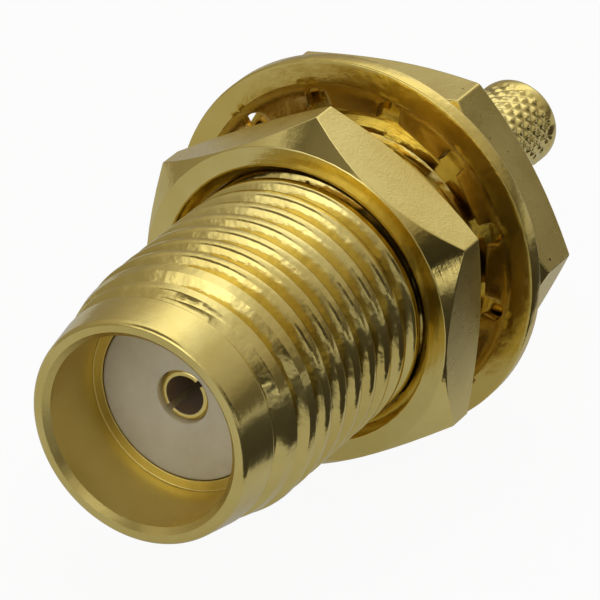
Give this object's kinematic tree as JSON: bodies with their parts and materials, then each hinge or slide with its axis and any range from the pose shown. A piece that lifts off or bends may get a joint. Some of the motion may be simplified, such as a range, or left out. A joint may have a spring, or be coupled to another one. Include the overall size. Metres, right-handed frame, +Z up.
{
  "type": "sma connector",
  "caption": "Gold-plated threaded coaxial jack for panel mounting, with a slotted centre socket, insulator, tooth lock washer, hex nut and rear crimp stem.",
  "frame": {"origin": "centre of the mating plane, at the bottom of the mouth", "axes": "+Y along the axis from the mouth towards the crimp stem, +Z up, square to a pair of the flange's flats"},
  "size_m": [0.0095, 0.0187, 0.0095],
  "materials": {
    "body_gold": "pale gold plating with a satin sheen over turned metal",
    "nut_gold": "pale gold plating, polished, with turning marks on the face",
    "washer_gold": "duller olive gold plating over stamped sheet",
    "contact_gold": "gold plating, bright at the tip",
    "ptfe": "waxy off-white plastic, slightly translucent"
  },
  "bodies": {
    "root": {"connector_body": "body_gold", "insulator": "ptfe", "centre_contact": "contact_gold"},
    "washer": {"lock_washer": "washer_gold"},
    "nut": {"hex_nut": "nut_gold"}
  },
  "joints": [
    {"name": "washer_slide", "type": "slide", "parent": "root", "child": "washer", "axis": [0, -1, 0], "range_m": [0, 0.00717]},
    {"name": "nut_spin", "type": "hinge", "parent": "washer", "child": "nut", "pos_m": [0, 0.00603, 0], "axis": [0, -1, 0], "range_deg": [0, 3660]}
  ],
  "couplings": [
    {"joint": "nut_spin", "follows": "washer_slide", "rad_per_m": 8904.7}
  ]
}
